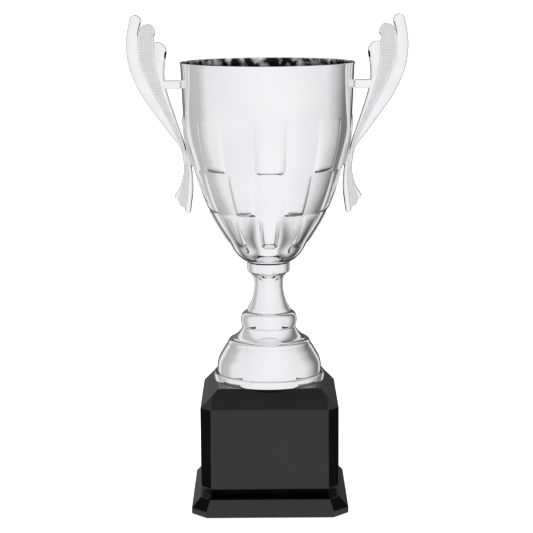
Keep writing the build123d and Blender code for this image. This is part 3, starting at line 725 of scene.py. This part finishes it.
studioSpec = {
    "lens": 111.88, "cameraBack": 1.3366, "cameraUp": 0.4345, "cameraSide": -0.0017,
    "pitch": 10.18, "roll": 0.37,
    # brightness of the room seen in the polish: (degrees round from the front, tone), right is positive
    "around": [(-180, 0.15), (-153, 0.22), (-147, 0.90), (-138, 0.95), (-131, 0.55), (-104, 0.62),
               (-88, 0.93), (-40, 1.0), (0, 1.06), (40, 1.02), (86, 0.90), (104, 0.62), (124, 0.22),
               (138, 0.24), (144, 0.85), (150, 0.85), (156, 0.06), (180, 0.15)],
    "overhead": [(0.93, 1.0), (0.98, 0.22)],             # (share of straight up, tone)
    "lowSides": 0.78,                                    # how much darker the room is low down
    # where that darkening starts and is full, as shares of straight down, sideways or back
    "sidesDown": (0.80, 0.93), "sidesAcross": (0.27, 0.42),
    "behindDown": (0.50, 0.66), "behindBack": (0.25, 0.55),
    "floorSize": 60.0, "floorGlow": 0.75,
    # leaning dark cards that only reflections see, there to darken the base's cut corners
    "sideCard": {"away": 0.169, "up": 0.0195, "width": 0.10, "length": 0.157, "lean": 55, "middle": -0.045},
    "lamps": [("key_light", (-0.9, -1.3, 1.5), 1.2, 12.0),   # name, place, width, watts
              ("fill_light", (1.1, -1.1, 1.2), 1.2, 8.0),
              ("back_light", (0.0, 1.2, 1.6), 1.4, 8.0)],
    "lampAim": (0, 0, 0.15),
}


def toneRamp(tree, stops, source):
    ramp = addNode(tree, "ShaderNodeValToRGB", None, {"Fac": source})
    while len(ramp.color_ramp.elements) < len(stops):
        ramp.color_ramp.elements.new(0.5)
    for element, (place, tone) in zip(ramp.color_ramp.elements, stops):
        element.position = place
        element.color = (tone, tone, tone, 1)
    return ramp.outputs["Color"]


def multiply(tree, first, second):
    return addNode(tree, "ShaderNodeMath", {"operation": "MULTIPLY"}, {0: first, 1: second}).outputs[0]


def step(tree, source, start, end):
    settings = {"interpolation_type": "SMOOTHSTEP", "From Min": start, "From Max": end}
    return addNode(tree, "ShaderNodeMapRange", settings, {"Value": source}).outputs[0]


def roomTone(tree, direction):
    parts = addNode(tree, "ShaderNodeSeparateXYZ", None, {0: direction})
    x, y, z = (parts.outputs[axis] for axis in "XYZ")
    forward = addNode(tree, "ShaderNodeMath", {"operation": "MULTIPLY", 1: -1.0}, {0: y}).outputs[0]
    turn = addNode(tree, "ShaderNodeMath", {"operation": "ARCTAN2"}, {0: x, 1: forward}).outputs[0]
    share = addNode(tree, "ShaderNodeMapRange", {"From Min": -pi, "From Max": pi}, {"Value": turn}).outputs[0]
    around = toneRamp(tree, [((place + 180) / 360, tone) for place, tone in studioSpec["around"]], share)
    over = toneRamp(tree, studioSpec["overhead"], z)
    sideways = addNode(tree, "ShaderNodeMath", {"operation": "ABSOLUTE"}, {0: x}).outputs[0]
    down = addNode(tree, "ShaderNodeMath", {"operation": "MULTIPLY", 1: -1.0}, {0: z}).outputs[0]
    spec = studioSpec
    low = multiply(tree, step(tree, down, *spec["sidesDown"]), step(tree, sideways, *spec["sidesAcross"]))
    lowBehind = multiply(tree, step(tree, down, *spec["behindDown"]), step(tree, y, *spec["behindBack"]))
    low = addNode(tree, "ShaderNodeMath", {"operation": "MAXIMUM"}, {0: low, 1: lowBehind}).outputs[0]
    lessened = addNode(tree, "ShaderNodeMath", {"operation": "MULTIPLY_ADD", 1: -spec["lowSides"], 2: 1.0},
                       {0: low}).outputs[0]
    return multiply(tree, multiply(tree, around, over), lessened)


def makeStudio():
    world = bpy.data.worlds.new("soft_room")
    bpy.context.scene.world = world
    world.use_nodes = True
    tree = world.node_tree
    tree.nodes.clear()
    direction = addNode(tree, "ShaderNodeTexCoord").outputs["Generated"]
    room = roomTone(tree, direction)
    seen = addNode(tree, "ShaderNodeLightPath").outputs["Is Camera Ray"]
    white = addNode(tree, "ShaderNodeMix", {"data_type": "RGBA", 7: (1, 1, 1, 1)}, {0: seen, 6: room})
    back = addNode(tree, "ShaderNodeBackground", {"Strength": 1.0}, {"Color": white.outputs[2]})
    addNode(tree, "ShaderNodeOutputWorld", None, {"Surface": back.outputs[0]})

    clearSelection()
    bpy.ops.mesh.primitive_plane_add(size=studioSpec["floorSize"], location=(0, 0, -0.05 * mm))
    floor = bpy.context.object
    floor.name = "floor"
    material, floorTree, place = startMaterial("pale_floor")
    grain = addNode(floorTree, "ShaderNodeTexNoise", {"Scale": 60.0}, {"Vector": place})
    pale = {"data_type": "RGBA", 6: linear("#FAFAFA"), 7: linear("#FDFDFD")}
    tone = addNode(floorTree, "ShaderNodeMix", pale, {0: grain.outputs["Fac"]})
    glow = {"Roughness": 0.9, "Emission Color": (1, 1, 1, 1), "Emission Strength": studioSpec["floorGlow"]}
    endMaterial(floorTree, glow, {"Base Color": tone.outputs[2]})
    floor.data.materials.append(material)
    floor.visible_glossy = False

    for side in (-1, 1):
        clearSelection()
        spec = studioSpec["sideCard"]
        lean = radians(spec["lean"] if side > 0 else 180 - spec["lean"])
        place = (side * spec["away"], spec["middle"], spec["up"])
        bpy.ops.mesh.primitive_plane_add(size=1, location=place, rotation=(0, lean, 0))
        card = bpy.context.object
        card.scale = (spec["length"], spec["width"], 1)
        card.name = "dark_card_" + ("right" if side > 0 else "left")
        cloth, clothTree, clothPlace = startMaterial(card.name)
        weave = addNode(clothTree, "ShaderNodeTexNoise", {"Scale": 80.0}, {"Vector": clothPlace})
        dark = {"data_type": "RGBA", 6: linear("#2C2C2C"), 7: linear("#383838")}
        black = addNode(clothTree, "ShaderNodeMix", dark, {0: weave.outputs["Fac"]})
        endMaterial(clothTree, {"Roughness": 1.0, "Specular IOR Level": 0.0}, {"Base Color": black.outputs[2]})
        card.data.materials.append(cloth)
        card.visible_camera = card.visible_diffuse = card.visible_shadow = False

    for name, place, size, power in studioSpec["lamps"]:
        lamp = bpy.data.objects.new(name, bpy.data.lights.new(name, "AREA"))
        lamp.data.shape, lamp.data.size, lamp.data.energy = "SQUARE", size, power
        lamp.location = place
        towards = Vector(studioSpec["lampAim"]) - Vector(place)
        lamp.rotation_euler = towards.to_track_quat("-Z", "Y").to_euler()
        lamp.visible_glossy = False
        bpy.context.collection.objects.link(lamp)

    camera = bpy.data.objects.new("camera", bpy.data.cameras.new("camera"))
    camera.data.sensor_width = 36
    camera.data.lens = studioSpec["lens"]
    camera.location = (studioSpec["cameraSide"], -studioSpec["cameraBack"], studioSpec["cameraUp"])
    aim = Euler((radians(90 - studioSpec["pitch"]), 0, 0)).to_quaternion()
    camera.rotation_mode = "QUATERNION"
    camera.rotation_quaternion = aim @ Quaternion((0, 0, 1), -radians(studioSpec["roll"]))
    bpy.context.collection.objects.link(camera)
    bpy.context.scene.camera = camera
    bpy.context.scene.view_settings.view_transform = "Standard"


makeStudio()
print("studio set")
